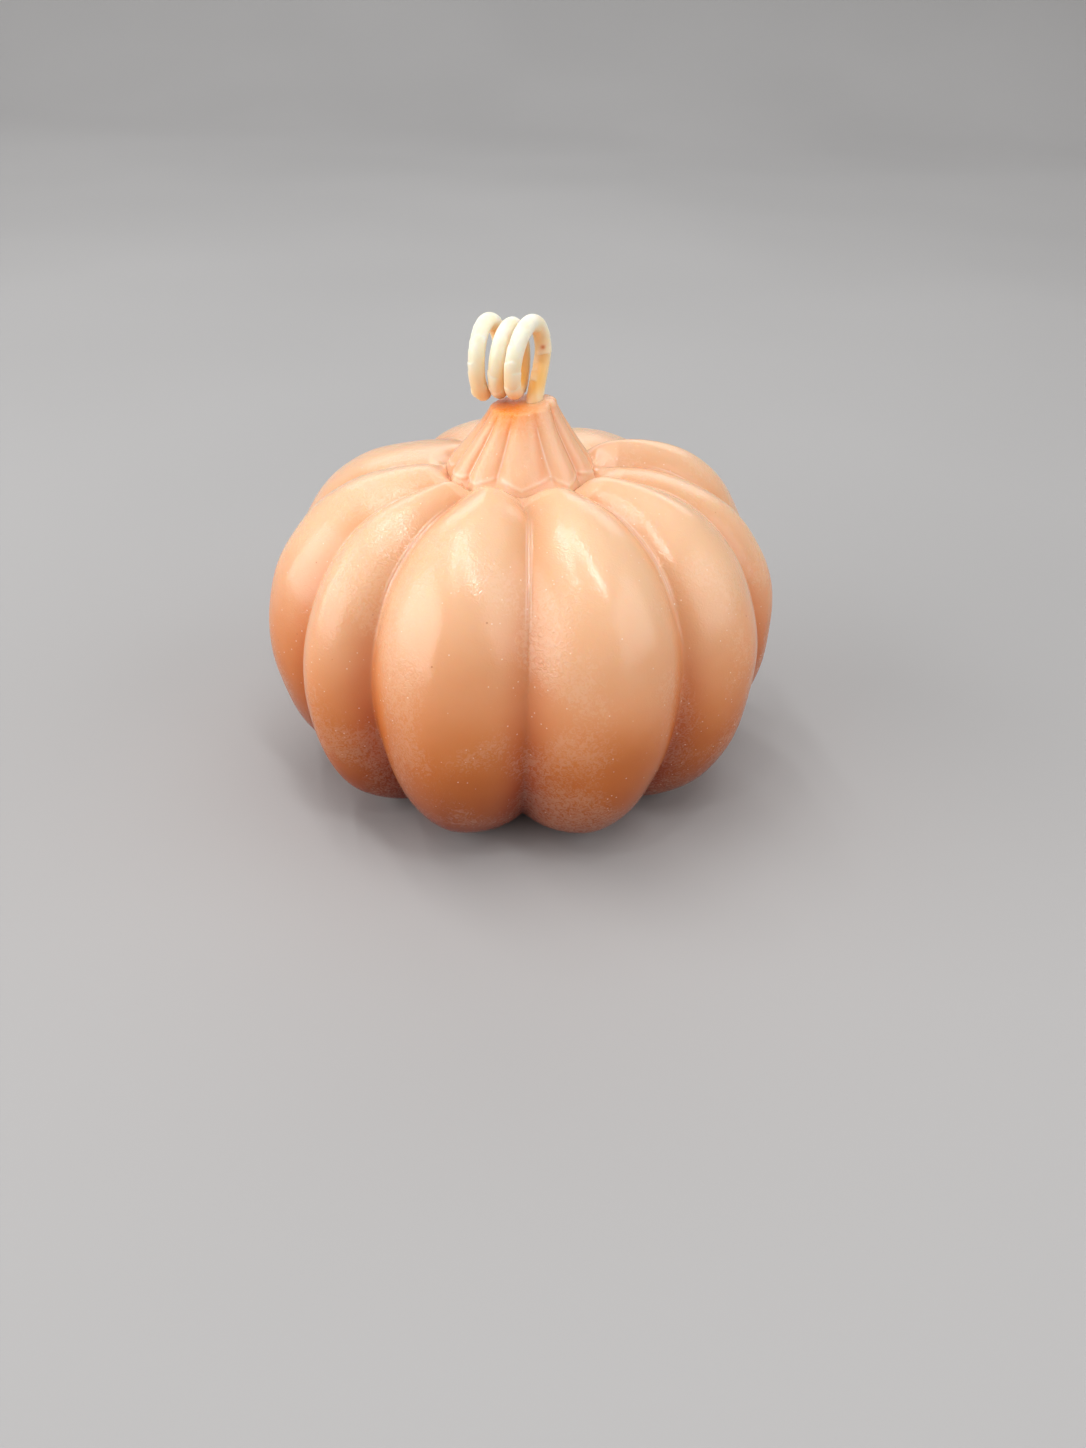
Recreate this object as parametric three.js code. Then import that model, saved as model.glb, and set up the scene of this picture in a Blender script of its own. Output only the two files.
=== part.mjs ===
// A wax candle cast in the shape of a ribbed pumpkin, and its waxed wick.
// The ribs, their feet, the flat base and the fluted stem are one casting. The wick comes up
// through the casting and is coiled above the stem.
// Millimetres, +Z up. The base rests on z = 0, and the front crease faces -Y.

import * as THREE from "three";
import { ParametricGeometry } from "three/addons/geometries/ParametricGeometry.js";
import { mergeVertices } from "three/addons/utils/BufferGeometryUtils.js";

// The creases between the ribs, in degrees round the body from the front towards +X
const creaseDegrees = [2, 41, 77, 102, 131, 174, 221, 265, 300, 324];
// Each rib's reach and rise against the mean rib, from the rib right of the front crease
const ribReach = [0.99, 0.97, 0.985, 1.005, 1.0, 1.015, 1.045, 1.0, 0.995, 1.0];
const ribRise = [1.02, 1.01, 0.98, 1.02, 0.985, 1.0, 0.975, 0.995, 1.0, 1.02];

// Side view of a rib's crest and of a crease: the widest radius and its height, the top and the
// radius where it lies, the foot's radius, how square the upper and lower curves are, and how far
// the surface tucks in and down behind the top
const crest = {
  radius: 45, widest: 28.6, top: 56.3, shoulder: 16.7, foot: 24, upper: 2.1, lower: 2.2,
  tuckIn: 6.5, tuckDown: 8,
};
const crease = {
  radius: 39.5, widest: 29, top: 54.5, shoulder: 15.7, foot: 20, upper: 2.1, lower: 1.77,
  tuckIn: 4.2, tuckDown: -0.8,
};
const tuckAngle = THREE.MathUtils.degToRad(135);
// Radii between which the upper part of the ribs gives way to the stem's own centre
const shiftInner = 12;
const shiftOuter = 22;
// Plan view of a rib: how flat its crest is, and how full it stays towards the creases
const ribFlatness = 1.7;
const ribFullness = 1.2;

// Fluted stem
const stemRim = 5.5;
const stemSkirt = 7.7;
const stemFlare = 1.13;
const stemFootHeight = 55;
const stemRimHeight = 65.75;
const stemRimSlope = 0.08;
const stemTop = 66.35;
const stemTopSlope = 0.19;
const stemTopBow = 0.02;
const stemShift = -1.2;
const stemShiftAtRim = -1.0;
const fluteDepth = 0.13;
const fluteRoundness = 1.6;
// Where each flute starts at the stem's foot, as a share of the way across its rib; all end at 0.5
const fluteFoot = [0.74, 0.5, 0.5, 0.5, 0.5, 0.5, 0.5, 0.5, 0.5, 0.42];
const footBlend = 0.3;

// Wick, the hole in which it stands, and where its end points away from the coil
const wickRadius = 1.4;
const wickGap = 0.3;
const wickX = 0.8;
const wickFoot = 0.5;
const wickEnd = new THREE.Vector3(-9.1, 4.7, 66.9);
const coilStart = -22;
const coilEnd = 986;
const coilStep = 18;
// The coil at the start of each turn: its centre, its half width, half depth and half height, and
// how far its top leans towards +X
const coilTurns = [
  { x: 0.2, y: -0.7, z: 73.45, wide: 1.7, deep: 4.8, high: 5.7, lean: 0.25 },
  { x: -2.65, y: 1.3, z: 72.8, wide: 1.15, deep: 4.0, high: 4.85, lean: 0.25 },
  { x: -5.85, y: 2.3, z: 72.8, wide: 1.0, deep: 3.7, high: 5.4, lean: -0.3 },
  { x: -9.0, y: 3.0, z: 72.55, wide: 1.3, deep: 4.5, high: 5.9, lean: -0.7 },
];

// How far the body's own axis stands from the origin, which is the middle of the whole outline
const axisX = -0.08;
const axisY = -0.36;

// Faces along each part of the casting's section and across each rib
const rows = { base: 2, rib: 26, stem: 10, top: 8, hole: 1 };
const facesPerRib = 12;
const wickFaces = 10;
const wickSteps = 120;

const ribCount = creaseDegrees.length;
const holeRadius = wickRadius + wickGap;
const { clamp, lerp, smoothstep, degToRad } = THREE.MathUtils;

// Side view of a crest or crease at an angle of -90 degrees (foot) to tuckAngle (behind the top)
function sideView(shape, angle) {
  const across = Math.abs(Math.cos(angle));
  const along = Math.abs(Math.sin(angle));
  if (angle < 0) {
    return {
      radius: lerp(shape.foot, shape.radius, across ** (2 / shape.lower)),
      height: shape.widest * (1 - along ** (2 / shape.lower)),
    };
  }
  if (angle < Math.PI / 2) {
    return {
      radius: lerp(shape.shoulder, shape.radius, across ** (2 / shape.upper)),
      height: lerp(shape.widest, shape.top, along ** (2 / shape.upper)),
    };
  }
  return {
    radius: shape.shoulder - shape.tuckIn * across,
    height: shape.top - shape.tuckDown * (1 - along),
  };
}

// The rib at a share of the way round, how far across it that is, its turn about the axis, and the
// distance from its crest (0) to its creases (1)
function ribAt(share) {
  const index = Math.min(Math.floor(share * ribCount), ribCount - 1);
  const part = share * ribCount - index;
  const start = creaseDegrees[index];
  const end = index + 1 < ribCount ? creaseDegrees[index + 1] : creaseDegrees[0] + 360;
  return { index, part, turn: degToRad(lerp(start, end, part)), off: Math.abs(2 * part - 1) };
}

// A point at a radius and height, with the stem's shift towards -X
function place(turn, radius, height, shift) {
  return new THREE.Vector3(radius * Math.sin(turn) + shift, -radius * Math.cos(turn), height);
}

function ribPoint(rib, angle) {
  const high = sideView(crest, angle);
  const low = sideView(crease, angle);
  const bulge = (1 - rib.off ** ribFlatness) ** (1 / ribFullness);
  const radius = lerp(low.radius, high.radius * ribReach[rib.index], bulge);
  const height = lerp(low.height, high.height * ribRise[rib.index], bulge);
  const shift = angle > 0 ? stemShift * (1 - smoothstep(radius, shiftInner, shiftOuter)) : 0;
  return place(rib.turn, radius, height, shift);
}

function stemPoint(rib, share) {
  const foot = ribPoint(rib, tuckAngle);
  const height = lerp(foot.z, stemRimHeight, share);
  const depth = (stemRimHeight - height) / (stemRimHeight - stemFootHeight);
  const drop = clamp(depth, 0, 1);
  const middle = lerp(fluteFoot[rib.index], 0.5, clamp(share, 0, 1));
  const side = rib.part < middle ? rib.part / middle : (1 - rib.part) / (1 - middle);
  const flute = 1 - fluteDepth * side ** fluteRoundness;
  const radius = (stemRim + stemSkirt * drop ** stemFlare) * flute;
  const shift = lerp(stemShift, stemShiftAtRim, share);
  const point = place(rib.turn, radius, height, shift);
  point.lerpVectors(foot, point, smoothstep(share, 0, footBlend));
  point.z += stemRimSlope * point.x * share * share;
  return point;
}

function stemTopPoint(rib, share) {
  const rim = stemPoint(rib, 1);
  const hole = holePoint(rib, stemTop);
  const point = new THREE.Vector3().lerpVectors(rim, hole, share);
  const top = stemTop + stemTopSlope * point.x + stemTopBow * point.x ** 2;
  point.z = lerp(rim.z, top, Math.sqrt(1 - (1 - share) ** 2));
  return point;
}

function holePoint(rib, height) {
  return place(rib.turn, holeRadius, height, wickX);
}

// The casting's surface: round the body, and from the hole's foot over the outside and back
function castingPoint(round, along, target) {
  const rib = ribAt(round);
  const total = rows.base + rows.rib + rows.stem + rows.top + rows.hole;
  let row = along * total;
  if (row <= rows.base) {
    const foot = ribPoint(rib, -Math.PI / 2);
    return target.lerpVectors(holePoint(rib, 0), foot, row / rows.base);
  }
  row -= rows.base;
  if (row <= rows.rib) {
    return target.copy(ribPoint(rib, lerp(-Math.PI / 2, tuckAngle, row / rows.rib)));
  }
  row -= rows.rib;
  if (row <= rows.stem) {
    return target.copy(stemPoint(rib, row / rows.stem));
  }
  row -= rows.stem;
  if (row <= rows.top) {
    return target.copy(stemTopPoint(rib, row / rows.top));
  }
  row -= rows.top;
  return target.copy(holePoint(rib, lerp(stemTopPoint(rib, 1).z, 0, row / rows.hole)));
}

function closed(geometry) {
  geometry.deleteAttribute("normal");
  geometry.deleteAttribute("uv");
  const merged = mergeVertices(geometry, 1e-4);
  merged.computeVertexNormals();
  return merged;
}

function castingGeometry() {
  const total = rows.base + rows.rib + rows.stem + rows.top + rows.hole;
  return closed(new ParametricGeometry(castingPoint, ribCount * facesPerRib, total));
}

function coilPoint(degrees) {
  const turn = Math.min(Math.max(degrees / 360, 0), coilTurns.length - 1);
  const index = Math.min(Math.floor(turn), coilTurns.length - 2);
  const blend = (name) => lerp(coilTurns[index][name], coilTurns[index + 1][name], turn - index);
  const angle = degToRad(degrees);
  return new THREE.Vector3(
    blend("x") + blend("wide") * Math.cos(angle) + blend("lean") * Math.sin(angle),
    blend("y") + blend("deep") * Math.cos(angle),
    blend("z") + blend("high") * Math.sin(angle),
  );
}

function wickRoute() {
  const points = [
    new THREE.Vector3(wickX, 0, wickFoot),
    new THREE.Vector3(wickX, 0, 20),
    new THREE.Vector3(wickX, 0, 42),
    new THREE.Vector3(wickX, 0, 58),
    new THREE.Vector3(wickX, 0, 64.6),
    new THREE.Vector3(wickX, 0, 66.9),
    new THREE.Vector3(1.25, 1.8, 69.2),
  ];
  for (let degrees = coilStart; degrees <= coilEnd; degrees += coilStep) {
    points.push(coilPoint(degrees));
  }
  points.push(wickEnd);
  return new THREE.CatmullRomCurve3(points, false, "centripetal");
}

function wickGeometry() {
  const section = new THREE.Shape();
  section.absarc(0, 0, wickRadius, 0, 2 * Math.PI);
  return closed(new THREE.ExtrudeGeometry(section, {
    curveSegments: wickFaces / 2,
    steps: wickSteps,
    extrudePath: wickRoute(),
  }));
}

const peachWax = new THREE.MeshStandardMaterial({ color: 0xe8ab80, roughness: 0.42, metalness: 0 });
const creamWax = new THREE.MeshStandardMaterial({ color: 0xfbe3bb, roughness: 0.5, metalness: 0 });

const casting = new THREE.Mesh(castingGeometry(), peachWax);
casting.name = "wax_body";
const wick = new THREE.Mesh(wickGeometry(), creamWax);
wick.name = "wick";

const candle = new THREE.Group();
candle.add(casting, wick);
candle.position.set(axisX, axisY, 0);

export default candle;
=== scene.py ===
"""The looks of a wax candle cast as a ribbed pumpkin, with its coiled wick."""

import math

import bpy
import numpy as np
from mathutils import Euler, Matrix, Vector


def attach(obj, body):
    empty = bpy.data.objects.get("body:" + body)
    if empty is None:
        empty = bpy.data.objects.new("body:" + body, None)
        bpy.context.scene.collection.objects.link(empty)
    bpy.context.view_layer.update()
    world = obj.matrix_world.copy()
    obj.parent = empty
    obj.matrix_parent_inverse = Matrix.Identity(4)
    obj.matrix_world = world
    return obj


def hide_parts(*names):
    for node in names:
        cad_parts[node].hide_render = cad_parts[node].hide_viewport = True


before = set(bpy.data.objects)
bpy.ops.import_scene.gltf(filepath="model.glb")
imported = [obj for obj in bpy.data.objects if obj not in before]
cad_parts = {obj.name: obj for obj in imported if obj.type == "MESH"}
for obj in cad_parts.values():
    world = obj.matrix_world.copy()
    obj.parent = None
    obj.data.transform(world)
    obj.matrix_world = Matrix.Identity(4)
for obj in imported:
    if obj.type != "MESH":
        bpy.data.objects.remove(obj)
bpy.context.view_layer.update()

MM = 0.001
SEED = 7

# The body, in millimetres: the creases round it, in degrees from the front towards +X, and each
# rib's reach and rise against the mean rib
CREASE_DEGREES = (2, 41, 77, 102, 131, 174, 221, 265, 300, 324)
RIB_REACH = (0.99, 0.97, 0.985, 1.005, 1.0, 1.015, 1.045, 1.0, 0.995, 1.0)
RIB_RISE = (1.02, 1.01, 0.98, 1.02, 0.985, 1.0, 0.975, 0.995, 1.0, 1.02)
BODY_AXIS = (-0.08, -0.36)

# Side view of a rib's crest and of a crease: the widest radius and its height, the top and the
# radius where it lies, the foot's radius, how square the upper and lower curves are, and how far
# the surface tucks in and down behind the top
CREST = {
    "radius": 45, "widest": 28.6, "top": 56.3, "shoulder": 16.7, "foot": 24, "upper": 2.1,
    "lower": 2.2, "tuck_in": 6.5, "tuck_down": 8,
}
CREASE = {
    "radius": 39.5, "widest": 29, "top": 54.5, "shoulder": 15.7, "foot": 20, "upper": 2.1,
    "lower": 1.77, "tuck_in": 4.2, "tuck_down": -0.8,
}
TUCK_ANGLE = math.radians(135)

# Plan view of a rib: how flat its crest is, how full it stays towards the creases, and the
# rounded bottom of a crease as a share of half a rib
RIB_FLATNESS = 1.7
RIB_FULLNESS = 1.2
CREASE_SOFTNESS = 0.07

# The shade in a crease: its width, and the radii beside the stem where it begins and is full
CREASE_SHADE_WIDTH = 3.2
CREASE_SHADE_RADII = (8, 16)

# The glossy seam in a crease: the angles of the side view where it starts and ends, its half
# width and how much of it is level, and its raised lines with their height in between as a share
SEAM_START = math.radians(37)
SEAM_END = math.radians(76)
SEAM_FADE = math.radians(7)
SEAM_HALF_WIDTH = 0.6
SEAM_LEVEL_SHARE = 0.7
SEAM_LINE_SPACING = 0.4
SEAM_LINE_HEIGHT = 0.13
SEAM_LOW_SHARE = 0.3

# The stem
STEM_RIM = 5.5
STEM_SKIRT = 7.7
STEM_FLARE = 1.13
STEM_FOOT_HEIGHT = 55
STEM_RIM_HEIGHT = 65.75
STEM_RIM_SLOPE = 0.08
STEM_TOP = 66.35
STEM_TOP_SLOPE = 0.19
STEM_TOP_BOW = 0.02
STEM_SHIFT = -1.2
STEM_SHIFT_AT_RIM = -1.0
FOOT_BLEND = 0.3

# Radii between which the upper part of the ribs gives way to the stem's own centre, and the
# angles of the side view between which the ribs take on the stem's colour
STEM_SHIFT_RADII = (12, 22)
STEM_COLOUR_ANGLES = (math.pi / 2 - 0.25, TUCK_ANGLE - 0.2)

# The stem's flutes, shallower and sharper than the solid's and fading towards the rim. Each one
# starts at a share of the way across its rib and ends in the middle. Heights are shares of the way
# up the stem. A painted shade lies along each flute's valley.
FLUTE_DEPTH = 0.11
FLUTE_ROUNDNESS = 2.2
FLUTE_FADE_START = 0.7
FLUTE_DEPTH_AT_RIM = 0.4
FLUTE_FOOT = (0.74, 0.5, 0.5, 0.5, 0.5, 0.5, 0.5, 0.5, 0.5, 0.42)
FLUTE_SHADE_WIDTH = 0.3
FLUTE_SHADE_HEIGHTS = (0.1, 0.3)

# Each stem panel starts with a raised V, whose rim, pale with a painted highlight, fades towards
# its corners, and a fine raised line runs up between the panels. Places up the stem are shares of
# the way, and so are the widths of the V's step and rim. How far things stand out is in
# millimetres.
# The painted highlight on the lines takes its width at one radius of the stem, the line radius.
PANEL_TIP = 0.165
PANEL_CORNER = 0.225
PANEL_STEP = 0.3
PANEL_STEP_WIDTH = 0.04
PANEL_RIM = 0.16
PANEL_RIM_WIDTH = 0.018
PANEL_RIM_FADE = (0.7, 0.95)
FLUTE_LINE_HEIGHT = 0.18
FLUTE_LINE_WIDTH = 0.13
FLUTE_LINE_RISE = 0.08
FLUTE_LINE_FALL = 0.2
FLUTE_LINE_END = 0.92
FLUTE_LINE_RADIUS = 8.25

# The painted orange glow of the stem's top under the coil: its middle and its size each way
GLOW_CENTRE = (-3.0, -3.0, 66.0)
GLOW_SIZE = (4.4, 5.0, 3.4)

# Slow waves of the ribs' surface, the heights between which they grow above the base, and the
# angles of the side view between which they fade behind the tops
WAVE_COUNT = 14
WAVE_LENGTHS = (9, 26)
WAVE_HEIGHT = 0.035
WAVE_START_HEIGHTS = (1, 6)
WAVE_END_ANGLES = (1.4, 1.9)

# Faces along the casting's section and across each rib, where they crowd towards the creases
BASE_ROWS = 8
RIB_ROWS = 230
STEM_ROWS = 80
TOP_ROWS = 30
HOLE_ROWS = 6
RIB_COLUMNS = 58
COLUMN_CROWDING = 0.4

# The wick, its centre line's points up to the coil, and the hole, whose wall lies just inside the
# wick's surface so that no gap shows
WICK_RADIUS = 1.4
WICK_X = 0.8
WICK_FOOT = 0.5
WICK_LEAD = (
    (WICK_X, 0, WICK_FOOT), (WICK_X, 0, 20), (WICK_X, 0, 42), (WICK_X, 0, 58), (WICK_X, 0, 64.6),
    (WICK_X, 0, 66.9), (1.25, 1.8, 69.2),
)
WICK_END = (-9.1, 4.7, 66.9)
HOLE_RADIUS = 1.36

# The coil in degrees, and at the start of each turn: its centre, its half width, half depth and
# half height, and how far its top leans towards +X
COIL_START = -22
COIL_END = 986
COIL_STEP = 18
COIL_TURNS = {
    "x": (0.2, -2.65, -5.85, -9.0),
    "y": (-0.7, 1.3, 2.3, 3.0),
    "z": (73.45, 72.8, 72.8, 72.55),
    "wide": (1.7, 1.15, 1.0, 1.3),
    "deep": (4.8, 4.0, 3.7, 4.5),
    "high": (5.7, 4.85, 5.4, 5.9),
    "lean": (0.25, 0.25, -0.3, -0.7),
}

# Faces round the wick, curve points between two knots of its route, and the rows' spacing
WICK_SIDES = 40
WICK_POINTS_BETWEEN = 10
WICK_SPACING = 0.16

# The rounded cut end of the wick, and how much of the radius is left there
TIP_LENGTH = 0.7
TIP_SHARE = 0.75

# Cracks across the wick's wax coat: their mean spacing and its spread, how far they slant along
# the wick, how far they reach round it in radians, the share of that where they are full, and
# their waviness
CRACK_SPACING = 2.1
CRACK_SPREAD = (0.5, 1.5)
CRACK_SLANT = 0.5
CRACK_REACH = (0.9, 2.2)
CRACK_FULL_SHARE = 0.7
CRACK_WAVE_HEIGHT = 0.15
CRACK_WAVES = 3
CRACK_DEPTH = 0.05
CRACK_WIDTH = 0.12

# The coat is thickest at a crack's lip and thins out beyond it. It lies on the wick's radius
# where its share of the depth is at the level.
LIP_SHARE = (0.5, 1)
FACET_DEPTH = 0.13
FACET_REACH = 1.4
FACET_LEVEL = 0.6

# A small orange dot on the wick, and the heights and strengths of the painted warm glow on the
# coat inside the coil and low down
DOT_PLACE = (1.87, 2.74, 74.4)
DOT_SIZE = 0.36
INSIDE_HEIGHTS = (66, 69)
INSIDE_GLOW = 0.6
BELOW_HEIGHTS = (66, 77)
BELOW_GLOW = 0.6

# The peach wax from its foot up, deeper below partly as its own tone and partly as painted shade,
# with the heights in metres between which one sRGB colour gives way to the next, and the cloudy
# drift of those heights
FOOT_TONE_AND_SHADE = (142, 52, 3)
MIDDLE_TONE_AND_SHADE = (227, 128, 46)
UPPER_COLOUR = (244, 199, 160)
MIDDLE_HEIGHTS = (0.0, 0.036)
UPPER_HEIGHTS = (0.02, 0.054)
CLOUD_SCALE = 55
CLOUD_DRIFT = 0.012

# Colours and strengths of the painted shade in the creases, of the seams, partly painted sheen,
# of the stem with the painted shade in its flutes, and of the stem's painted glow and of the
# painted highlight on its raised lines
CREASE_SHADE_COLOUR = (226, 166, 92)
CREASE_SHADE_HEIGHTS = (0.004, 0.045)
CREASE_SHADE_STRENGTHS = (0.95, 0.4)
SEAM_TONE_AND_SHEEN_COLOUR = (250, 212, 190)
SEAM_TONE_AND_SHEEN_STRENGTH = 0.55
PANEL_COLOUR = (242, 192, 154)
FLUTE_SHADE_COLOUR = (236, 166, 116)
GLOW_COLOUR = (255, 146, 40)
GLOW_STRENGTH = 0.95
LINE_HIGHLIGHT_COLOUR = (255, 226, 204)
LINE_HIGHLIGHT_STRENGTH = 0.6

# Limits between which a noise texture counts, for plain unevenness and for patches
NOISE_LIMITS = (0.3, 0.7)
PATCH_LIMITS = (0.35, 0.65)

# Pale specks that come in patches, and rarer dark pits. Each lies in a cell, and the scale is the
# cells to a metre. It fades over distances from its middle, as shares of the cell's size, and
# shows where the cell's random share is above the rarity.
SPECK_SCALE = 800
SPECK_FADE = (0.06, 0.125)
SPECK_PATCH_SCALE = 45
SPECK_RARITY = (0.85, 0.4)
SPECK_COLOUR = (255, 234, 210)
SPECK_STRENGTH = 0.65
PIT_SCALE = 600
PIT_FADE = (0.06, 0.12)
PIT_RARITY = (0.95, 0.96)
PIT_COLOUR = (190, 106, 62)
PIT_STRENGTH = 0.6

# Fine ripples of the peach wax, strong in patches, with a painted highlight on their tops
RIPPLE_SCALE = 1500
RIPPLE_DISTORTION = 1.4
RIPPLE_HEIGHT = 0.00009
RIPPLE_PATCH_SCALE = 70
RIPPLE_PATCH_STRENGTHS = (0.35, 1.0)
RIPPLE_HIGHLIGHT_TOPS = (0.3, 0.6)
RIPPLE_HIGHLIGHT_COLOUR = (255, 230, 204)
RIPPLE_HIGHLIGHT_STRENGTH = 0.14

# The peach wax's gloss, which grows with height and is dull in the glow, and its scattering
WAX_IOR = 1.44
PEACH_ROUGHNESS = (0.14, 0.19)
PEACH_ROUGHNESS_SCALE = 120
GLOSS_HEIGHTS = (0.0, 0.04)
GLOSS_LEVELS = (0.3, 0.8)
GLOSS_COLOUR = (255, 251, 248)
DULL_LIMITS = (0.1, 0.6)
DULL_SHARE = 0.15
PEACH_SCATTER = 0.5
PEACH_SCATTER_RADIUS = (1.0, 0.45, 0.22)
PEACH_SCATTER_SCALE = 0.003

# The wick's cream wax: its colours, its grain, its roughness and its scattering
CREAM_COLOUR = (255, 249, 230)
DEEP_CREAM_COLOUR = (255, 242, 212)
CREAM_CLOUD_SCALE = 420
WICK_GLOW_COLOUR = (255, 190, 92)
WICK_GLOW_STRENGTH = 0.95
COAT_COLOUR = (255, 252, 240)
COAT_STRENGTH = 0.45
DOT_COLOUR = (216, 112, 44)
DOT_STRENGTH = 0.9
GRAIN_SCALE = 1300
GRAIN_ROUGHNESS = 0.6
GRAIN_STRENGTH = 0.35
GRAIN_HEIGHT = 0.00006
CREAM_ROUGHNESS = (0.34, 0.46)
CREAM_ROUGHNESS_SCALE = 300
CREAM_SCATTER = 0.5
CREAM_SCATTER_RADIUS = (1.0, 0.75, 0.5)
CREAM_SCATTER_SCALE = 0.0006

# Camera, in millimetres and degrees, with its near limit in metres and the picture in pixels
CAMERA_PLACE = (3.81, -190.98, 126.63)
CAMERA_PITCH = 32.76
CAMERA_ROLL = 1.89
CAMERA_CLIP_START = 0.01
FOCAL_PIXELS = 1184.5
PICTURE_HEIGHT = 1448
SENSOR_HEIGHT = 36

# The floor and the backdrop that it curves up into, in metres
FLOOR_HALF_WIDTH = 1.6
FLOOR_FRONT = -1.2
FLOOR_BACK = 0.9
BACKDROP_BEND = 0.5
BACKDROP_TOP = 1.6
BEND_STEPS = 16
FLOOR_COLOUR = (170, 169, 169)
PALE_FLOOR_COLOUR = (176, 175, 175)
FLOOR_CLOUD_SCALE = 3
FLOOR_ROUGHNESS = 0.75

# Windows of light, in metres and watts: name, place, size and power. All of them face one point.
WINDOWS = (
    ("overhead", (0.0, 0.0, 0.9), (1.1, 1.1), 1.7),
    ("back_window", (0.0, 1.1, 0.65), (1.6, 0.5), 3.6),
    ("left_window", (-1.1, -0.4, 0.46), (1.6, 1.0), 12.5),
    ("right_window", (1.1, -0.4, 0.6), (1.4, 1.1), 6.8),
)
WINDOW_TARGET = (0, 0, 0.04)

# Strips of light under the ceiling: name, start and end from above, width and power
STRIPS = (
    ("left_strip", (-0.35, 0.38), (-0.22, -0.2), 0.024, 1.0),
    ("left_lamp", (-0.18, -0.35), (-0.165, -0.39), 0.03, 0.26),
    ("right_strip", (-0.2, 0.24), (0.12, -0.26), 0.07, 1.1),
    ("right_lamp", (0.08, -0.2), (0.26, -0.4), 0.07, 0.8),
)
CEILING_HEIGHT = 0.78
ROOM_COLOUR = (1.0, 0.98, 0.96, 1.0)
ROOM_BRIGHTNESS = 0.25


def lerp(start, end, share):
    return start + (end - start) * share


def smoothstep(value, low, high):
    share = np.clip((value - low) / (high - low), 0, 1)
    return share * share * (3 - 2 * share)


def ridge(distance, width):
    """A soft ridge: 1 in its middle, and next to nothing two widths away."""
    return np.exp(-((distance / width) ** 2))


class Columns:
    """The mesh's columns round the body: each one's turn, its place across its rib, and that
    rib's own measures."""

    def __init__(self):
        ribs = len(CREASE_DEGREES)
        even = np.linspace(-1, 1, RIB_COLUMNS, endpoint=False)
        across = even * (1 + COLUMN_CROWDING) - COLUMN_CROWDING * even**3
        starts = np.array(CREASE_DEGREES)
        ends = np.append(starts[1:], starts[0] + 360)
        rib = np.repeat(np.arange(ribs), RIB_COLUMNS)
        self.part = np.tile((across + 1) / 2, ribs)
        self.turn = np.radians(lerp(starts[rib], ends[rib], self.part))
        self.off = np.abs(2 * self.part - 1)
        self.half_angle = np.radians(ends[rib] - starts[rib]) / 2
        self.side = np.where(self.part < 0.5, 1, -1)
        self.reach = np.array(RIB_REACH)[rib]
        self.rise = np.array(RIB_RISE)[rib]
        self.flute_foot = np.array(FLUTE_FOOT)[rib]

    def rows(self, start, end, count):
        """Rows of one value each, from the start to just before the end."""
        return np.linspace(start, end, count, endpoint=False)[:, None] + 0 * self.turn

    def row(self, value):
        return self.rows(value, value, 1)


def side_view(shape, angle):
    """Radius and height of a crest or crease, from its foot (-90 degrees) to behind its top."""
    across = np.abs(np.cos(angle))
    along = np.abs(np.sin(angle))
    lower = (
        lerp(shape["foot"], shape["radius"], across ** (2 / shape["lower"])),
        shape["widest"] * (1 - along ** (2 / shape["lower"])),
    )
    upper = (
        lerp(shape["shoulder"], shape["radius"], across ** (2 / shape["upper"])),
        lerp(shape["widest"], shape["top"], along ** (2 / shape["upper"])),
    )
    tuck = (
        shape["shoulder"] - shape["tuck_in"] * across,
        shape["top"] - shape["tuck_down"] * (1 - along),
    )
    return [
        np.where(angle < 0, low, np.where(angle < math.pi / 2, high, behind))
        for low, high, behind in zip(lower, upper, tuck)
    ]


def place(turn, radius, height, shift):
    """Points at a radius and height, with a shift along X."""
    x = radius * np.sin(turn) + shift
    y = -radius * np.cos(turn) + 0 * shift
    return np.stack(np.broadcast_arrays(x, y, height), axis=-1)


def rib_points(columns, angle):
    """The ribs' surface at rows of angles of the side view, with the seams in its creases."""
    crest_radius, crest_height = side_view(CREST, angle)
    crease_radius, crease_height = side_view(CREASE, angle)
    inner = 1 - columns.off
    soft = CREASE_SOFTNESS
    rounded = (np.sqrt(inner**2 + soft**2) - soft) / (math.sqrt(1 + soft**2) - soft)
    bulge = (1 - (1 - rounded) ** RIB_FLATNESS) ** (1 / RIB_FULLNESS)
    radius = lerp(crease_radius, crest_radius * columns.reach, bulge)
    height = lerp(crease_height, crest_height * columns.rise, bulge)
    lift = SEAM_LINE_HEIGHT * seam_lines(columns, angle, radius)
    radius = radius + lift * np.cos(angle)
    height = height + lift * np.sin(angle)
    near = 1 - smoothstep(radius, *STEM_SHIFT_RADII)
    shift = np.where(angle > 0, STEM_SHIFT * near, 0)
    return place(columns.turn, radius, height, shift)


def crease_distance(columns, radius):
    """Distance from the nearest crease, in millimetres, with its side as the sign."""
    return columns.side * (1 - columns.off) * columns.half_angle * radius


def seam_strength(angle):
    """How much of the seam there is at an angle of the side view."""
    start = smoothstep(angle, SEAM_START - SEAM_FADE, SEAM_START + SEAM_FADE)
    return start * (1 - smoothstep(angle, SEAM_END - SEAM_FADE, SEAM_END + SEAM_FADE))


def seam_lines(columns, angle, radius):
    """The seam's fine raised lines, from 0 beside it to 1 on top of a line."""
    distance = crease_distance(columns, radius)
    level_width = SEAM_HALF_WIDTH * SEAM_LEVEL_SHARE
    level = 1 - smoothstep(np.abs(distance), level_width, SEAM_HALF_WIDTH)
    lines = 0.5 + 0.5 * np.cos(2 * math.pi * distance / SEAM_LINE_SPACING)
    return seam_strength(angle) * level * lerp(SEAM_LOW_SHARE, 1, lines)


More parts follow.
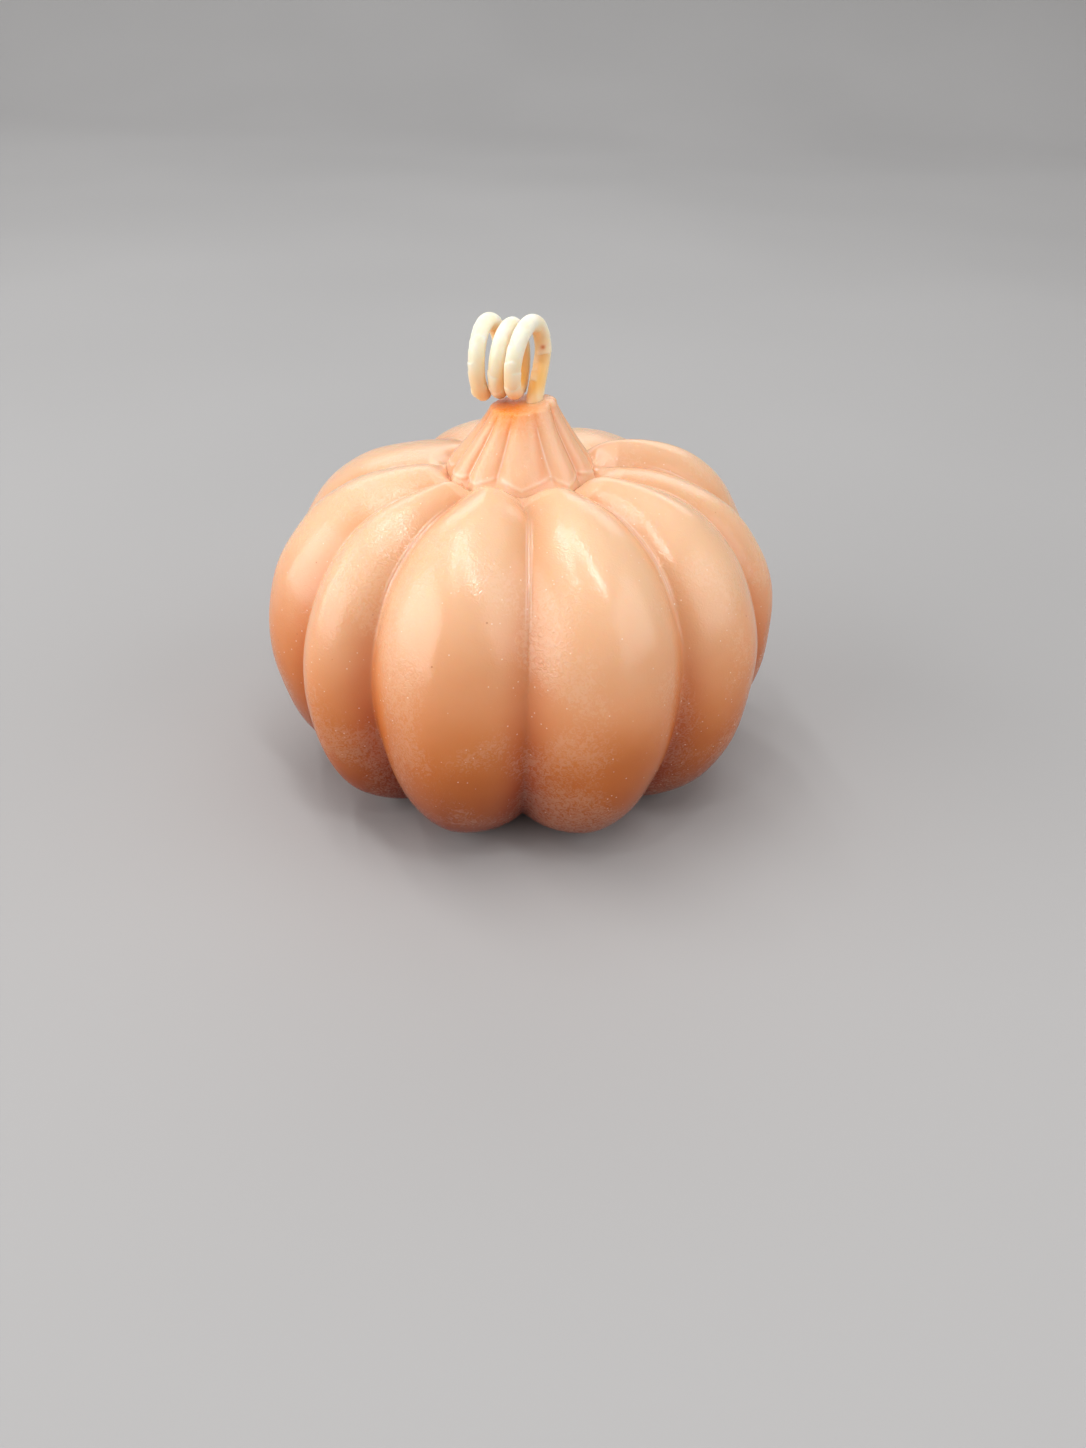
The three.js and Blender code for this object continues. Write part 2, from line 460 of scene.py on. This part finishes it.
def flute_place(columns, share):
    """How far each column is from the panel's middle (0) towards the flute (1), and its turn from
    the flute, in radians, at shares of the way up the stem."""
    middle = lerp(columns.flute_foot, 0.5, share)
    side = np.minimum(columns.part / middle, (1 - columns.part) / (1 - middle))
    return side, np.abs(columns.part - middle) * 2 * columns.half_angle


def stem_points(columns, share):
    """The stem's flank, from behind the ribs' tops (share 0) to its rim (share 1)."""
    foot = rib_points(columns, np.full_like(share, TUCK_ANGLE))
    height = lerp(foot[..., 2], STEM_RIM_HEIGHT, share)
    drop = np.clip((STEM_RIM_HEIGHT - height) / (STEM_RIM_HEIGHT - STEM_FOOT_HEIGHT), 0, 1)
    side, turned = flute_place(columns, share)
    depth = FLUTE_DEPTH * lerp(1, FLUTE_DEPTH_AT_RIM, smoothstep(share, FLUTE_FADE_START, 1))
    flute = 1 - depth * side**FLUTE_ROUNDNESS
    radius = (STEM_RIM + STEM_SKIRT * drop**STEM_FLARE) * flute
    radius = radius + panel_relief(side, share, turned * radius)
    points = place(columns.turn, radius, height, lerp(STEM_SHIFT, STEM_SHIFT_AT_RIM, share))
    points = lerp(foot, points, smoothstep(share, 0, FOOT_BLEND)[..., None])
    points[..., 2] += STEM_RIM_SLOPE * points[..., 0] * share * share
    return points


def panel_edge(side):
    """The share of the way up the stem where a panel's V runs."""
    return lerp(PANEL_TIP, PANEL_CORNER, side)


def panel_relief(side, share, from_flute):
    """How far the panels' V, its rim and the lines between the panels stand out."""
    edge = panel_edge(side)
    step = PANEL_STEP * (smoothstep(share, edge - PANEL_STEP_WIDTH, edge + PANEL_STEP_WIDTH) - 1)
    rim = PANEL_RIM * ridge(share - edge, PANEL_RIM_WIDTH)
    return step + rim + FLUTE_LINE_HEIGHT * flute_line(share, from_flute)


def flute_line(share, from_flute):
    """The line between two panels, 1 on top of it, at a distance in millimetres."""
    shown = smoothstep(share, PANEL_CORNER - FLUTE_LINE_RISE, PANEL_CORNER)
    shown = shown * (1 - smoothstep(share, FLUTE_LINE_END - FLUTE_LINE_FALL, FLUTE_LINE_END))
    return shown * ridge(from_flute, FLUTE_LINE_WIDTH)


def panel_highlight_lines(columns, share):
    """How strongly the painted highlight on the raised rims and lines of the stem's panels shows.
    """
    side, turned = flute_place(columns, share)
    rim = ridge(share - panel_edge(side), PANEL_RIM_WIDTH)
    rim = rim * (1 - smoothstep(side, *PANEL_RIM_FADE))
    return np.maximum(rim, flute_line(share, turned * FLUTE_LINE_RADIUS))


def hole_points(columns, height):
    return place(columns.turn, HOLE_RADIUS, height, np.full_like(height, WICK_X))


def stem_top(x):
    return STEM_TOP + STEM_TOP_SLOPE * x + STEM_TOP_BOW * x**2


def top_points(columns, share):
    """The stem's top, from its rim (share 0) to the wick's hole (share 1)."""
    rim = stem_points(columns, np.ones_like(share))
    hole = hole_points(columns, np.zeros_like(share))
    points = lerp(rim, hole, share[..., None])
    top = stem_top(points[..., 0])
    points[..., 2] = lerp(rim[..., 2], top, np.sqrt(1 - (1 - share) ** 2))
    return points


def slow_waves(points):
    """Small slow unevenness of a hand-cast surface, in millimetres outwards."""
    draw = np.random.default_rng(SEED)
    total = np.zeros(points.shape[:-1])
    for _ in range(WAVE_COUNT):
        direction = draw.normal(size=3)
        direction /= np.linalg.norm(direction)
        number = 2 * math.pi / draw.uniform(*WAVE_LENGTHS)
        total += np.sin(points @ direction * number + draw.uniform(0, 2 * math.pi))
    return total * WAVE_HEIGHT


def wavy_ribs(columns, angles):
    """The ribs' surface with its slow waves."""
    ribs = rib_points(columns, angles)
    centre = np.array([0, 0, CREST["widest"]])
    outward = (ribs - centre) / np.linalg.norm(ribs - centre, axis=-1, keepdims=True)
    start = smoothstep(ribs[..., 2], *WAVE_START_HEIGHTS)
    end = 1 - smoothstep(angles, *WAVE_END_ANGLES)
    return ribs + outward * (slow_waves(ribs) * (start * end))[..., None]


def crease_shade(columns, angles, radius):
    """How strongly the creases' shade shows on the ribs."""
    shown = np.where(angles < math.pi / 2, 1, 0) * smoothstep(radius, *CREASE_SHADE_RADII)
    return ridge(crease_distance(columns, radius), CREASE_SHADE_WIDTH) * shown


def casting_grid():
    """The casting's points, row by row from the hole's foot over the outside and back, and the
    shares that its material reads."""
    columns = Columns()
    angles = columns.rows(-math.pi / 2, TUCK_ANGLE, RIB_ROWS)
    up_stem = columns.rows(0, 1, STEM_ROWS)
    over_top = columns.rows(0, 1, TOP_ROWS)
    foot = rib_points(columns, columns.row(-math.pi / 2))
    base_middle = hole_points(columns, columns.row(0))
    mouth = stem_top(base_middle[..., 0])
    parts = {
        "base": lerp(base_middle, foot, columns.rows(0, 1, BASE_ROWS)[..., None]),
        "ribs": wavy_ribs(columns, angles),
        "stem": stem_points(columns, up_stem),
        "top": top_points(columns, over_top),
        "hole": hole_points(columns, mouth * (1 - columns.rows(0, 1, HOLE_ROWS))),
    }
    points = np.concatenate(list(parts.values()))

    def mark(**shown):
        """A share for all rows, 0 on the parts that aren't named."""
        return np.concatenate([
            shown.get(name, 0) + np.zeros(part.shape[:-1]) for name, part in parts.items()
        ])

    radius = np.hypot(parts["ribs"][..., 0], parts["ribs"][..., 1])
    flute_shade_share = ridge(columns.off, FLUTE_SHADE_WIDTH)
    marks = {
        "crease": mark(ribs=crease_shade(columns, angles, radius)),
        "seam": mark(ribs=seam_lines(columns, angles, radius)),
        "stem": mark(ribs=smoothstep(angles, *STEM_COLOUR_ANGLES), stem=1, top=1, hole=1),
        "flute": mark(
            stem=flute_shade_share * smoothstep(up_stem, *FLUTE_SHADE_HEIGHTS),
            top=flute_shade_share * (1 - over_top) ** 2,
        ),
        "line": mark(stem=panel_highlight_lines(columns, up_stem)),
        "glow": ridge(np.linalg.norm((points - GLOW_CENTRE) / GLOW_SIZE, axis=-1), 1),
    }
    return points + np.array([*BODY_AXIS, 0]), marks


def coil_points():
    """Points of the wick's coil, one for each step round it."""
    degrees = np.arange(COIL_START, COIL_END + 1, COIL_STEP)
    turn = np.clip(degrees / 360, 0, len(COIL_TURNS["x"]) - 1)
    at = {key: np.interp(turn, range(len(values)), values) for key, values in COIL_TURNS.items()}
    angle = np.radians(degrees)
    return np.stack([
        at["x"] + at["wide"] * np.cos(angle) + at["lean"] * np.sin(angle),
        at["y"] + at["deep"] * np.cos(angle),
        at["z"] + at["high"] * np.sin(angle),
    ], axis=-1)


def smooth_route(knots):
    """A centripetal Catmull-Rom curve through the knots, as evenly spaced points with their
    lengths along it."""
    ends = [2 * knots[0] - knots[1], *knots, 2 * knots[-1] - knots[-2]]
    dense = []
    for p0, p1, p2, p3 in zip(ends, ends[1:], ends[2:], ends[3:]):
        t1 = math.sqrt(np.linalg.norm(p1 - p0))
        t2 = t1 + math.sqrt(np.linalg.norm(p2 - p1))
        t3 = t2 + math.sqrt(np.linalg.norm(p3 - p2))
        t = np.linspace(t1, t2, WICK_POINTS_BETWEEN, endpoint=False)[:, None]
        a1 = (t1 - t) / t1 * p0 + t / t1 * p1
        a2 = (t2 - t) / (t2 - t1) * p1 + (t - t1) / (t2 - t1) * p2
        a3 = (t3 - t) / (t3 - t2) * p2 + (t - t2) / (t3 - t2) * p3
        b1 = (t2 - t) / t2 * a1 + t / t2 * a2
        b2 = (t3 - t) / (t3 - t1) * a2 + (t - t1) / (t3 - t1) * a3
        dense.append((t2 - t) / (t2 - t1) * b1 + (t - t1) / (t2 - t1) * b2)
    dense = np.concatenate([*dense, knots[-1:]])
    length = np.append(0, np.cumsum(np.linalg.norm(np.diff(dense, axis=0), axis=1)))
    even = np.arange(0, length[-1], WICK_SPACING)
    return np.stack([np.interp(even, length, dense[:, axis]) for axis in range(3)], axis=-1), even


def carried_frames(route):
    """Two directions across the route at each point, carried along it without twist."""
    tangents = np.gradient(route, axis=0)
    tangents /= np.linalg.norm(tangents, axis=1, keepdims=True)
    side = np.array([1.0, 0, 0])
    sides = []
    for tangent in tangents:
        side = side - tangent * (side @ tangent)
        side = side / np.linalg.norm(side)
        sides.append(side)
    sides = np.array(sides)
    return sides, np.cross(tangents, sides)


def wick_coat(along, round_angle):
    """How thick the wick's wax coat is at each point, from 0 to 1, and how deep its cracks are."""
    draw = np.random.default_rng(SEED)
    coat = np.zeros((len(along), WICK_SIDES))
    cracks = np.zeros_like(coat)
    position = 0.0
    while position < along[-1]:
        facing = draw.uniform(0, 2 * math.pi)
        slant = draw.uniform(-CRACK_SLANT, CRACK_SLANT)
        reach = draw.uniform(*CRACK_REACH)
        length = draw.uniform(*CRACK_SPREAD) * CRACK_SPACING
        lip = draw.uniform(*LIP_SHARE)
        turned = round_angle - facing
        gap = np.abs((turned + math.pi) % (2 * math.pi) - math.pi)
        shown = 1 - smoothstep(gap, reach * CRACK_FULL_SHARE, reach)
        wave = CRACK_WAVE_HEIGHT * np.sin(CRACK_WAVES * round_angle + facing)
        beyond = along[:, None] - (position + slant * np.sin(turned) + wave)
        cracks += ridge(beyond, CRACK_WIDTH) * shown
        past = beyond / (length * FACET_REACH)
        coat += np.where((past >= 0) & (past < 1), 1 - past, 0) * shown * lip
        position += length
    return np.clip(coat, 0, 1), np.clip(cracks, 0, 1)


def wick_glow_share(route, outward, height):
    """How strongly the wick's coat takes a painted warm glow: where it faces the coil's middle,
    and low down.
    """
    coil_middle = np.stack(
        [np.interp(route[:, 0], sorted(COIL_TURNS["x"]), COIL_TURNS[key][::-1]) for key in "yz"],
        axis=-1,
    )
    inward = coil_middle - route[:, 1:]
    inward /= np.linalg.norm(inward, axis=1, keepdims=True)
    inside = np.clip(np.einsum("ijk,ik->ij", outward[..., 1:], inward), 0, 1)
    inside = inside * smoothstep(height, *INSIDE_HEIGHTS)
    below = 1 - smoothstep(height, *BELOW_HEIGHTS)
    return np.clip(inside * INSIDE_GLOW + below * BELOW_GLOW, 0, 1)


def wick_grid():
    """The wick's points, row by row from its foot, and the shares that its material reads."""
    knots = np.array([*WICK_LEAD, *coil_points(), WICK_END])
    route, along = smooth_route(knots)
    sides, ups = carried_frames(route)
    round_angle = np.linspace(0, 2 * math.pi, WICK_SIDES, endpoint=False)
    coat, cracks = wick_coat(along, round_angle)
    radius = WICK_RADIUS + FACET_DEPTH * (coat - FACET_LEVEL) - CRACK_DEPTH * cracks
    tip = smoothstep(along[-1] - along, 0, TIP_LENGTH)[:, None]
    radius = radius * lerp(TIP_SHARE, 1, tip)
    across = np.cos(round_angle)[None, :, None] * sides[:, None, :]
    upward = np.sin(round_angle)[None, :, None] * ups[:, None, :]
    outward = across + upward
    points = route[:, None, :] + radius[..., None] * outward
    marks = {
        "coat": coat,
        "dot": ridge(np.linalg.norm(points - DOT_PLACE, axis=-1), DOT_SIZE),
        "painted_wick_glow": wick_glow_share(route, outward, points[..., 2]),
    }
    return points + np.array([*BODY_AXIS, 0]), marks


def ring_mesh(name, points, marks, closed_rows, caps=False):
    """A mesh of a grid of millimetre points whose columns, and maybe rows, close on themselves."""
    rows, columns = points.shape[:2]
    index = np.arange(rows * columns).reshape(rows, columns)
    above = np.roll(index, -1, axis=0)
    if not closed_rows:
        index, above = index[:-1], above[:-1]
    quads = np.stack([index, np.roll(index, -1, 1), np.roll(above, -1, 1), above], axis=-1)
    faces = quads.reshape(-1, 4).tolist()
    if caps:
        faces.append(list(range(columns))[::-1])
        faces.append(list(range((rows - 1) * columns, rows * columns)))
    mesh = bpy.data.meshes.new(name)
    mesh.from_pydata((points.reshape(-1, 3) * MM).tolist(), [], faces)
    for mark, values in marks.items():
        layer = mesh.attributes.new(mark, "FLOAT", "POINT")
        layer.data.foreach_set("value", values.astype(np.float32).ravel())
    mesh.shade_smooth()
    mesh.update()
    piece = bpy.data.objects.new(name, mesh)
    bpy.context.scene.collection.objects.link(piece)
    return piece


def colour(tone):
    """An sRGB colour of 0 to 255 as the shader's linear colour, by the standard's own curve."""
    def linear(value):
        value /= 255
        return value / 12.92 if value <= 0.04045 else ((value + 0.055) / 1.055) ** 2.4
    return (*map(linear, tone), 1.0)


class Nodes:
    """A material's node tree, with short calls that make and join its nodes."""

    # A mix node's places for its two colours and for their mixture
    FIRST_COLOUR = 6
    SECOND_COLOUR = 7
    MIXED_COLOUR = 2

    def __init__(self, name):
        self.material = bpy.data.materials.new(name)
        self.material.use_nodes = True
        self.tree = self.material.node_tree
        self.shader = self.tree.nodes["Principled BSDF"]

    def add(self, kind, inputs=None, **settings):
        node = self.tree.nodes.new(kind)
        for key, value in settings.items():
            setattr(node, key, value)
        for key, value in (inputs or {}).items():
            self.put(node.inputs[key], value)
        return node

    def put(self, socket, value):
        """Joins another node's output to a socket, or sets the socket's own value."""
        if isinstance(value, bpy.types.NodeSocket):
            self.tree.links.new(value, socket)
        else:
            socket.default_value = value

    def shade(self, **values):
        """Fills the shader's inputs, with _ for each space of their names."""
        for key, value in values.items():
            self.put(self.shader.inputs[key.replace("_", " ")], value)

    def mark(self, name):
        """One of the shares that the mesh carries."""
        return self.add("ShaderNodeAttribute", attribute_name=name).outputs["Fac"]

    def place(self):
        return self.add("ShaderNodeTexCoord").outputs["Object"]

    def height(self):
        return self.add("ShaderNodeSeparateXYZ", {"Vector": self.place()}).outputs["Z"]

    def noise(self, scale, detail=2.0, roughness=0.5, distortion=0.0):
        node = self.add("ShaderNodeTexNoise", {
            "Vector": self.place(), "Scale": scale, "Detail": detail, "Roughness": roughness,
            "Distortion": distortion,
        })
        return node.outputs["Fac"]

    def uneven(self, scale, ends=(0.0, 1.0), detail=2.0, limits=NOISE_LIMITS):
        """A value that wanders from one end to the other and back."""
        return self.ramp(self.noise(scale, detail), limits, ends)

    def spots(self, scale, channel):
        """Distance to the nearest of scattered points, and a random share of that point's own."""
        cells = self.add("ShaderNodeTexVoronoi", {"Vector": self.place(), "Scale": scale})
        kind = self.add("ShaderNodeSeparateColor", {"Color": cells.outputs["Color"]})
        return cells.outputs["Distance"], kind.outputs[channel]

    def ramp(self, value, limits, ends=(0.0, 1.0)):
        """A smooth ramp from one end to the other, while the value goes between its limits."""
        node = self.add("ShaderNodeMapRange", {
            "Value": value, "From Min": limits[0], "From Max": limits[1],
            "To Min": ends[0], "To Max": ends[1],
        })
        node.interpolation_type = "SMOOTHSTEP"
        return node.outputs["Result"]

    def maths(self, operation, first, second):
        node = self.add("ShaderNodeMath", operation=operation)
        self.put(node.inputs[0], first)
        self.put(node.inputs[1], second)
        return node.outputs[0]

    def times(self, first, second):
        return self.maths("MULTIPLY", first, second)

    def mix(self, share, first, second, blend="MIX"):
        node = self.add("ShaderNodeMix", data_type="RGBA", blend_type=blend)
        self.put(node.inputs["Factor"], share)
        self.put(node.inputs[self.FIRST_COLOUR], first)
        self.put(node.inputs[self.SECOND_COLOUR], second)
        return node.outputs[self.MIXED_COLOUR]

    def tint(self, base, share, strength, tone):
        """The base with another colour over it, as far as the share and the strength say."""
        return self.mix(self.times(share, strength), base, colour(tone))

    def bump(self, height, strength, distance):
        node = self.add("ShaderNodeBump", {
            "Height": height, "Strength": strength, "Distance": distance,
        })
        return node.outputs["Normal"]


def peach_colour(nodes, level):
    """The peach wax's colour at a height, deeper below partly as painted shade, with the painted
    shade of its creases and flutes, its seams partly painted as sheen, its stem, and the painted
    glow and highlights on the stem, before its spots.
    """
    # Deeper towards the foot: partly the wax's own tone, partly painted shade
    base = nodes.mix(nodes.ramp(level, MIDDLE_HEIGHTS), colour(FOOT_TONE_AND_SHADE), colour(MIDDLE_TONE_AND_SHADE))
    base = nodes.mix(nodes.ramp(level, UPPER_HEIGHTS), base, colour(UPPER_COLOUR))
    # Painted shade in the creases, stronger low down
    crease = nodes.times(nodes.mark("crease"), nodes.ramp(level, CREASE_SHADE_HEIGHTS, CREASE_SHADE_STRENGTHS))
    base = nodes.mix(crease, base, nodes.mix(1.0, base, colour(CREASE_SHADE_COLOUR), "MULTIPLY"))
    # The seam's paler colour: partly its own tone, partly painted sheen on it and its raised lines
    base = nodes.tint(base, nodes.mark("seam"), SEAM_TONE_AND_SHEEN_STRENGTH, SEAM_TONE_AND_SHEEN_COLOUR)
    # Painted shade along the stem's flutes
    stem = nodes.mix(nodes.mark("flute"), colour(PANEL_COLOUR), colour(FLUTE_SHADE_COLOUR))
    base = nodes.mix(nodes.mark("stem"), base, stem)
    # Painted orange glow on the stem's top under the coil
    base = nodes.tint(base, nodes.mark("glow"), GLOW_STRENGTH, GLOW_COLOUR)
    # Painted highlight along the stem's raised rims and lines
    return nodes.tint(base, nodes.mark("line"), LINE_HIGHLIGHT_STRENGTH, LINE_HIGHLIGHT_COLOUR)


def pale_specks(nodes):
    far, kind = nodes.spots(SPECK_SCALE, "Red")
    rarity = nodes.uneven(SPECK_PATCH_SCALE, SPECK_RARITY, limits=PATCH_LIMITS)
    chosen = nodes.maths("GREATER_THAN", kind, rarity)
    return nodes.times(nodes.ramp(far, SPECK_FADE, (1.0, 0.0)), chosen)


def dark_pits(nodes):
    far, kind = nodes.spots(PIT_SCALE, "Green")
    return nodes.times(nodes.ramp(far, PIT_FADE, (1.0, 0.0)), nodes.ramp(kind, PIT_RARITY))


def fine_ripples(nodes):
    ripple = nodes.noise(RIPPLE_SCALE, detail=1, distortion=RIPPLE_DISTORTION)
    patch = nodes.uneven(
        RIPPLE_PATCH_SCALE, RIPPLE_PATCH_STRENGTHS, detail=1, limits=PATCH_LIMITS)
    return nodes.times(ripple, patch)


def peach_wax():
    """Satin peach wax: paler above and deeper below, partly as painted shade, with ripples whose
    tops carry a painted highlight, pale specks and pits.
    """
    nodes = Nodes("peach_wax")
    cloud = nodes.maths("SUBTRACT", nodes.noise(CLOUD_SCALE, detail=3), 0.5)
    level = nodes.maths("ADD", nodes.height(), nodes.times(cloud, CLOUD_DRIFT))
    speck = pale_specks(nodes)
    pit = dark_pits(nodes)
    ripple = fine_ripples(nodes)
    base = peach_colour(nodes, level)
    base = nodes.tint(base, speck, SPECK_STRENGTH, SPECK_COLOUR)
    base = nodes.tint(base, pit, PIT_STRENGTH, PIT_COLOUR)
    # Painted highlight on the ripples' tops
    ripple_highlight = nodes.ramp(ripple, RIPPLE_HIGHLIGHT_TOPS, (0.0, RIPPLE_HIGHLIGHT_STRENGTH))
    base = nodes.mix(ripple_highlight, base, colour(RIPPLE_HIGHLIGHT_COLOUR))
    clear = nodes.maths("SUBTRACT", 1.0, nodes.maths("MAXIMUM", speck, pit))
    gloss = nodes.ramp(level, GLOSS_HEIGHTS, GLOSS_LEVELS)
    dull = nodes.ramp(nodes.mark("glow"), DULL_LIMITS, (1.0, DULL_SHARE))
    nodes.shade(
        Base_Color=base,
        Normal=nodes.bump(ripple, 1.0, RIPPLE_HEIGHT),
        Roughness=nodes.uneven(PEACH_ROUGHNESS_SCALE, PEACH_ROUGHNESS),
        IOR=WAX_IOR,
        Subsurface_Weight=nodes.times(clear, PEACH_SCATTER),
        Subsurface_Radius=PEACH_SCATTER_RADIUS,
        Subsurface_Scale=PEACH_SCATTER_SCALE,
        Specular_IOR_Level=nodes.times(gloss, dull),
        Specular_Tint=colour(GLOSS_COLOUR),
    )
    return nodes.material


def cream_wax():
    """The wick's cream wax coat: paler on its lips, with a painted warm glow inside the coil and
    near the stem.
    """
    nodes = Nodes("cream_wax")
    cloud = nodes.uneven(CREAM_CLOUD_SCALE, detail=3)
    base = nodes.mix(cloud, colour(CREAM_COLOUR), colour(DEEP_CREAM_COLOUR))
    # Painted warm glow inside the coil and near the stem
    base = nodes.tint(base, nodes.mark("painted_wick_glow"), WICK_GLOW_STRENGTH, WICK_GLOW_COLOUR)
    base = nodes.tint(base, nodes.mark("coat"), COAT_STRENGTH, COAT_COLOUR)
    base = nodes.tint(base, nodes.mark("dot"), DOT_STRENGTH, DOT_COLOUR)
    grain = nodes.noise(GRAIN_SCALE, detail=3, roughness=GRAIN_ROUGHNESS)
    nodes.shade(
        Base_Color=base,
        Normal=nodes.bump(grain, GRAIN_STRENGTH, GRAIN_HEIGHT),
        Roughness=nodes.uneven(CREAM_ROUGHNESS_SCALE, CREAM_ROUGHNESS),
        IOR=WAX_IOR,
        Subsurface_Weight=CREAM_SCATTER,
        Subsurface_Radius=CREAM_SCATTER_RADIUS,
        Subsurface_Scale=CREAM_SCATTER_SCALE,
    )
    return nodes.material


def pale_floor():
    nodes = Nodes("pale_floor")
    cloud = nodes.uneven(FLOOR_CLOUD_SCALE)
    base = nodes.mix(cloud, colour(FLOOR_COLOUR), colour(PALE_FLOOR_COLOUR))
    nodes.shade(Base_Color=base, Roughness=FLOOR_ROUGHNESS)
    return nodes.material


def make_camera():
    data = bpy.data.cameras.new("camera")
    data.sensor_fit = "VERTICAL"
    data.sensor_height = SENSOR_HEIGHT
    data.lens = FOCAL_PIXELS / PICTURE_HEIGHT * SENSOR_HEIGHT
    data.clip_start = CAMERA_CLIP_START
    camera = bpy.data.objects.new("camera", data)
    tilt = Euler((math.radians(90 - CAMERA_PITCH), 0, 0)).to_matrix()
    roll = Euler((0, 0, math.radians(CAMERA_ROLL))).to_matrix()
    turned = (tilt @ roll).to_4x4()
    camera.matrix_world = Matrix.Translation(Vector(CAMERA_PLACE) * MM) @ turned
    bpy.context.scene.collection.objects.link(camera)
    bpy.context.scene.camera = camera


def make_floor():
    """A pale floor that curves up into a backdrop behind the object."""
    profile = [(FLOOR_FRONT, 0.0), (FLOOR_BACK, 0.0)]
    for angle in np.linspace(0, math.pi / 2, BEND_STEPS + 1)[1:]:
        y = FLOOR_BACK + BACKDROP_BEND * math.sin(angle)
        profile.append((y, BACKDROP_BEND * (1 - math.cos(angle))))
    profile.append((FLOOR_BACK + BACKDROP_BEND, BACKDROP_TOP))
    corners = [(x, y, z) for y, z in profile for x in (-FLOOR_HALF_WIDTH, FLOOR_HALF_WIDTH)]
    faces = [(i, i + 1, i + 3, i + 2) for i in range(0, len(corners) - 2, 2)]
    mesh = bpy.data.meshes.new("floor")
    mesh.from_pydata(corners, [], faces)
    mesh.shade_smooth()
    floor = bpy.data.objects.new("floor", mesh)
    floor.data.materials.append(pale_floor())
    bpy.context.scene.collection.objects.link(floor)


def area_light(name, place, size, power):
    data = bpy.data.lights.new(name, "AREA")
    data.shape = "RECTANGLE"
    data.size, data.size_y = size
    data.energy = power
    light = bpy.data.objects.new(name, data)
    light.location = place
    bpy.context.scene.collection.objects.link(light)
    return light


def window_light(name, place, size, power):
    """A rectangle of light that faces the windows' target."""
    light = area_light(name, place, size, power)
    direction = Vector(WINDOW_TARGET) - Vector(place)
    light.rotation_euler = direction.to_track_quat("-Z", "Y").to_euler()


def ceiling_strip(name, start, end, width, power):
    """A straight light under the ceiling from one (x, y) to another, facing down."""
    start = Vector((*start, CEILING_HEIGHT))
    end = Vector((*end, CEILING_HEIGHT))
    along = end - start
    light = area_light(name, (start + end) / 2, (along.length, width), power)
    light.rotation_euler = (0, 0, math.atan2(along.y, along.x))


def make_lights():
    for window in WINDOWS:
        window_light(*window)
    for strip in STRIPS:
        ceiling_strip(*strip)
    world = bpy.data.worlds.new("studio")
    world.use_nodes = True
    background = world.node_tree.nodes["Background"]
    background.inputs["Color"].default_value = ROOM_COLOUR
    background.inputs["Strength"].default_value = ROOM_BRIGHTNESS
    bpy.context.scene.world = world
    bpy.context.scene.view_settings.view_transform = "Standard"


def dress(piece, material, node):
    """Gives a piece its material, attaches it to the root body, and hides the solid's part
    that it stands for.
    """
    piece.data.materials.append(material)
    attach(piece, "root")
    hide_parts(node)


make_camera()
casting_points, casting_marks = casting_grid()
casting = ring_mesh("wax_casting", casting_points, casting_marks, closed_rows=True)
dress(casting, peach_wax(), "wax_body")
wick_points, wick_marks = wick_grid()
wick = ring_mesh("waxed_wick", wick_points, wick_marks, closed_rows=False, caps=True)
dress(wick, cream_wax(), "wick")
make_floor()
make_lights()
